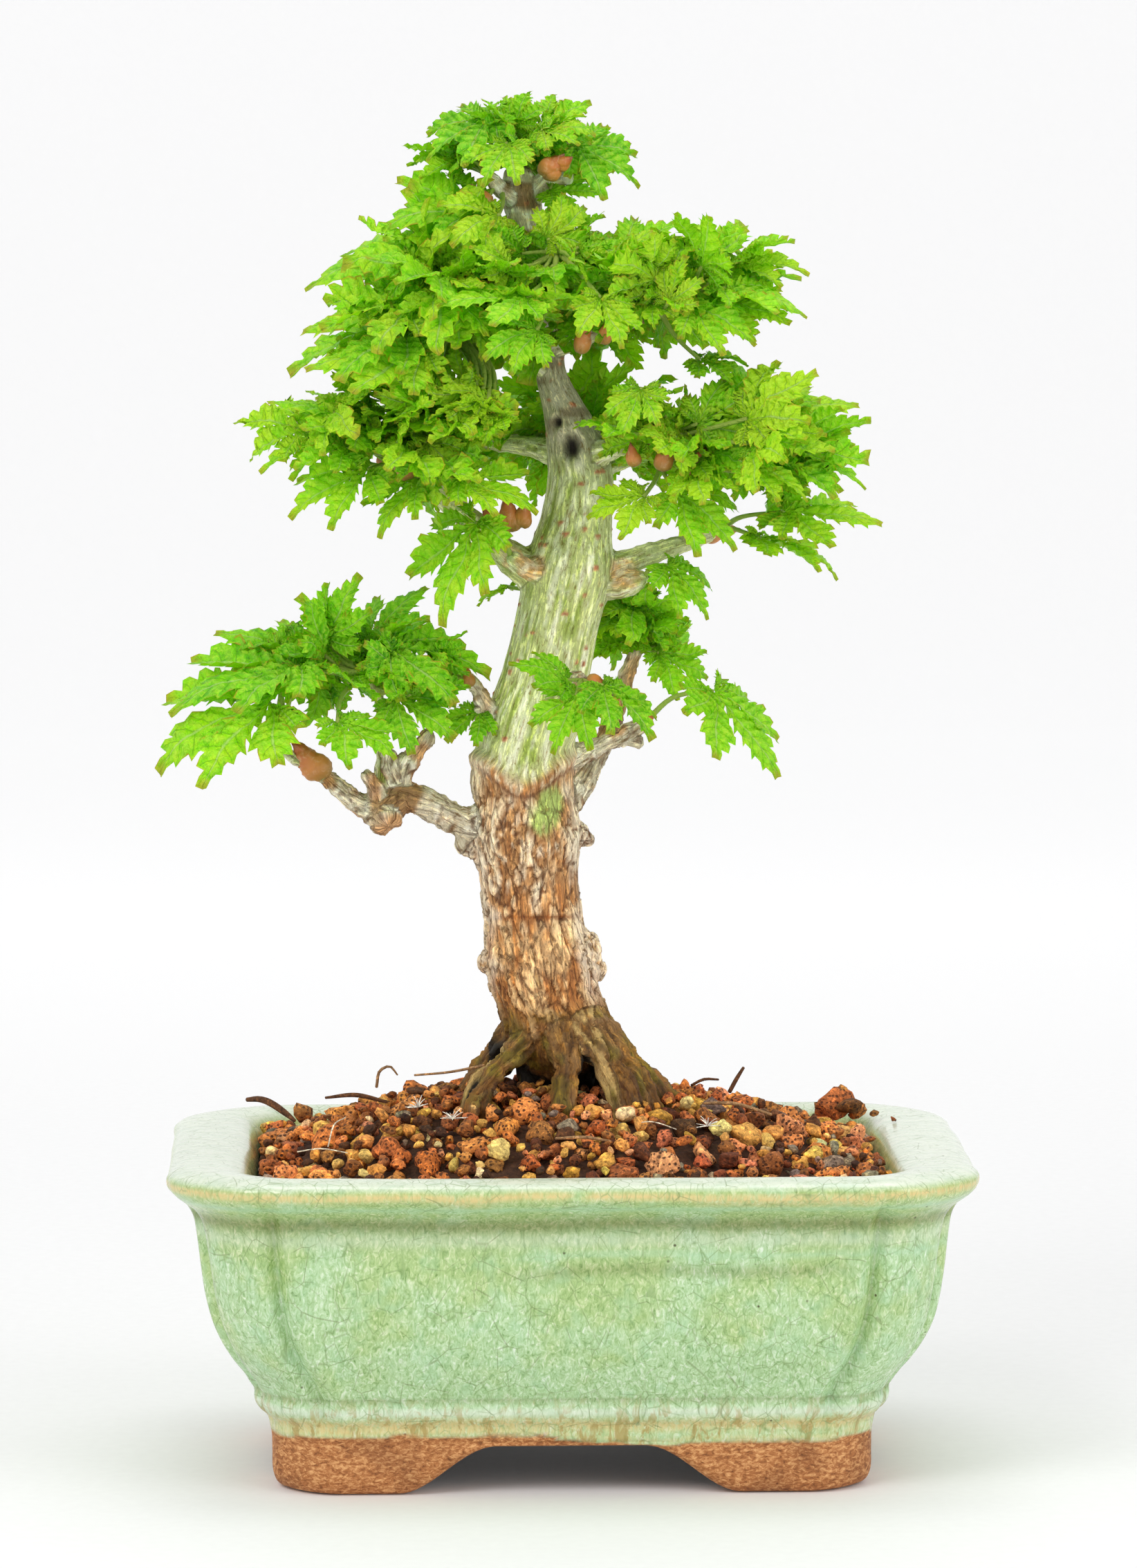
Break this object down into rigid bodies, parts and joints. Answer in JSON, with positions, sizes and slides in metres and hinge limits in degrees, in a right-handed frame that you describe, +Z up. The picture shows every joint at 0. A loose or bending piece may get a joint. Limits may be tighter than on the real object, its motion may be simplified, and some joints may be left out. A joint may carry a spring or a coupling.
{
  "type": "bonsai tree",
  "caption": "Small maple bonsai with a thick curved trunk and lobed, crinkled leaves, rooted in mounded grit in a rectangular glazed stoneware pot with corner feet.",
  "frame": {"origin": "middle of the whole object's footprint, on the surface that the pot's feet stand on", "axes": "+Z up along the tree, +X along the pot's long side to the right, -Y towards the viewer and the pot's front"},
  "size_m": [0.1846, 0.1308, 0.3106],
  "materials": {
    "pot_glaze": "gloss",
    "mesh_plastic": "matte",
    "clip_metal": "satin",
    "soil_grit": "matte",
    "bark": "matte",
    "bud_scale": "satin",
    "leaf_green": "satin"
  },
  "bodies": {
    "root": {"bud_left_branch": "bud_scale", "bud_lower_left": "bud_scale", "bud_right_branch": "bud_scale", "bud_trunk_front": "bud_scale", "drain_screen_left": "mesh_plastic", "drain_screen_right": "mesh_plastic", "grit_lump_left": "soil_grit", "grit_lump_right": "soil_grit", "leaf_front_a": "leaf_green", "leaf_front_b": "leaf_green", "leaf_left_a": "leaf_green", "leaf_left_b": "leaf_green", "leaf_left_c": "leaf_green", "leaf_left_d": "leaf_green", "leaf_left_e": "leaf_green", "leaf_left_f": "leaf_green", "leaf_left_i": "leaf_green", "leaf_low_a": "leaf_green", "leaf_low_b": "leaf_green", "leaf_low_c": "leaf_green", "leaf_low_d": "leaf_green", "leaf_low_f": "leaf_green", "leaf_low_h": "leaf_green", "leaf_low_i": "leaf_green", "leaf_low_l": "leaf_green", "leaf_low_m": "leaf_green", "leaf_low_n": "leaf_green", "leaf_low_o": "leaf_green", "leaf_low_p": "leaf_green", "leaf_low_r": "leaf_green", "leaf_low_t": "leaf_green", "leaf_low_u": "leaf_green", "leaf_low_v": "leaf_green", "leaf_mid_a": "leaf_green", "leaf_mid_b": "leaf_green", "leaf_mid_c": "leaf_green", "leaf_mid_e": "leaf_green", "leaf_mid_g": "leaf_green", "leaf_mid_h": "leaf_green", "leaf_mid_j": "leaf_green", "leaf_mid_k": "leaf_green", "leaf_mid_m": "leaf_green", "leaf_mid_o": "leaf_green", "leaf_mid_q": "leaf_green", "leaf_mid_s": "leaf_green", "leaf_mid_t": "leaf_green", "leaf_right_a": "leaf_green", "leaf_right_d": "leaf_green", "leaf_top_a": "leaf_green", "leaf_top_b": "leaf_green", "leaf_top_c": "leaf_green", "leaf_top_d": "leaf_green", "leaf_top_e": "leaf_green", "leaf_top_i": "leaf_green", "pot": "pot_glaze", "screen_clip_left": "clip_metal", "screen_clip_right": "clip_metal", "soil": "soil_grit", "tree": "bark"}
  },
  "joints": []
}
